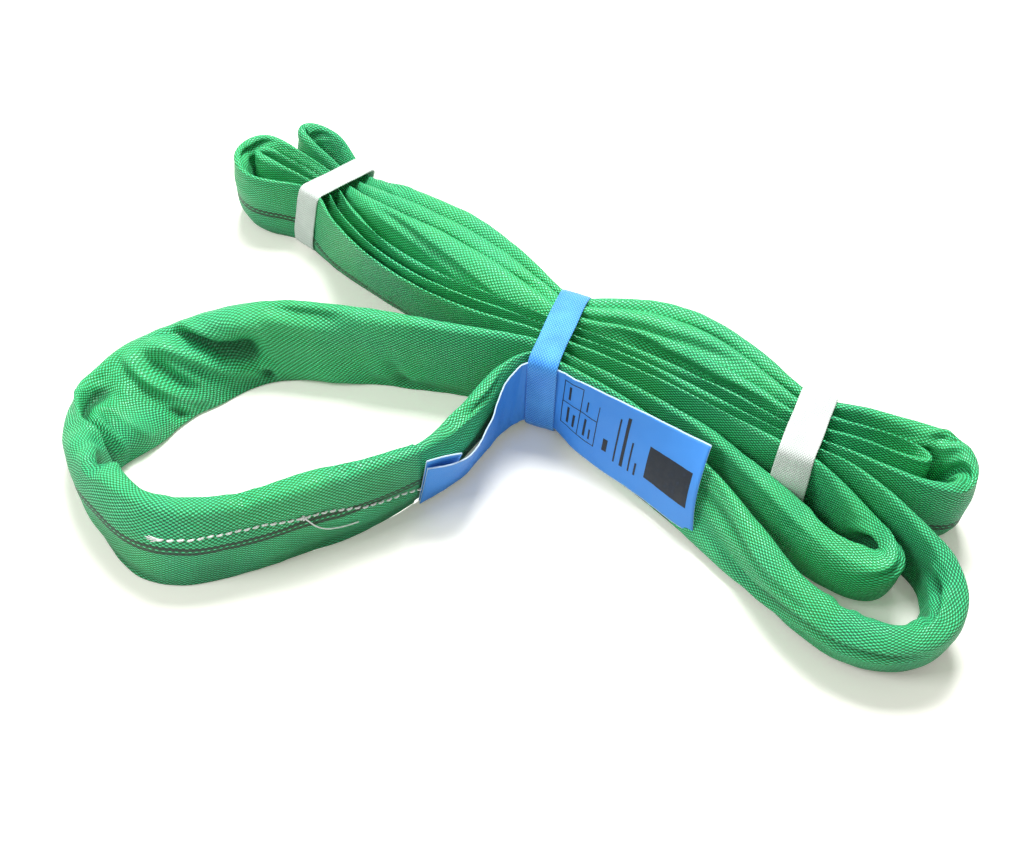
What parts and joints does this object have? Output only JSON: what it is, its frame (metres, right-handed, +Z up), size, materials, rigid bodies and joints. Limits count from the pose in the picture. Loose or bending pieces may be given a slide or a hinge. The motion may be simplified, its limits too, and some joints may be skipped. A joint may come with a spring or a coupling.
{
  "type": "endless round lifting sling, stored as a tied hank",
  "caption": "Endless textile lifting sling with a woven tubular sleeve over a yarn core, folded into a long hank held by narrow ties, with one open eye and a sewn label.",
  "frame": {"origin": "centre of the bounding box in plan, on the surface that the hank rests on", "axes": "+X along the hank, from the folded lobes to the end bights; +Y across it, away from the open eye; +Z up"},
  "size_m": [0.516, 0.308, 0.0614],
  "materials": {
    "sleeve": "tightly woven polyester sleeve, satin sheen, emerald green",
    "core_yarn": "parallel undyed polyester yarn",
    "tie_white": "narrow white woven tape",
    "tie_blue": "narrow glossy blue woven tape",
    "label": "coated blue label fabric with pale edges"
  },
  "bodies": {
    "root": {"core_hank": "core_yarn", "sleeve_inner_bight": "sleeve", "sleeve_folded_lays": "sleeve", "sleeve_outer_bight": "sleeve", "tie_left": "tie_white", "tie_middle": "tie_blue", "tie_right": "tie_white", "label_under_tie": "label"},
    "eye": {"core_eye": "core_yarn", "sleeve_eye": "sleeve", "sleeve_tucked_end": "sleeve", "label_sewn": "label", "label_tab": "label"},
    "label_flap": {"label_free_end": "label"}
  },
  "joints": [
    {"name": "eye_lift", "type": "hinge", "parent": "root", "child": "eye", "pos_m": [-0.0105, 0.05182, 0.0605], "axis": [-0.1736, 0.9848, 0], "range_deg": [0, 60]},
    {"name": "label_flap", "type": "hinge", "parent": "root", "child": "label_flap", "pos_m": [0.01128, 0.04537, 0.033], "axis": [0.0079, -0.0749, -0.9972], "range_deg": [0, 90]}
  ]
}
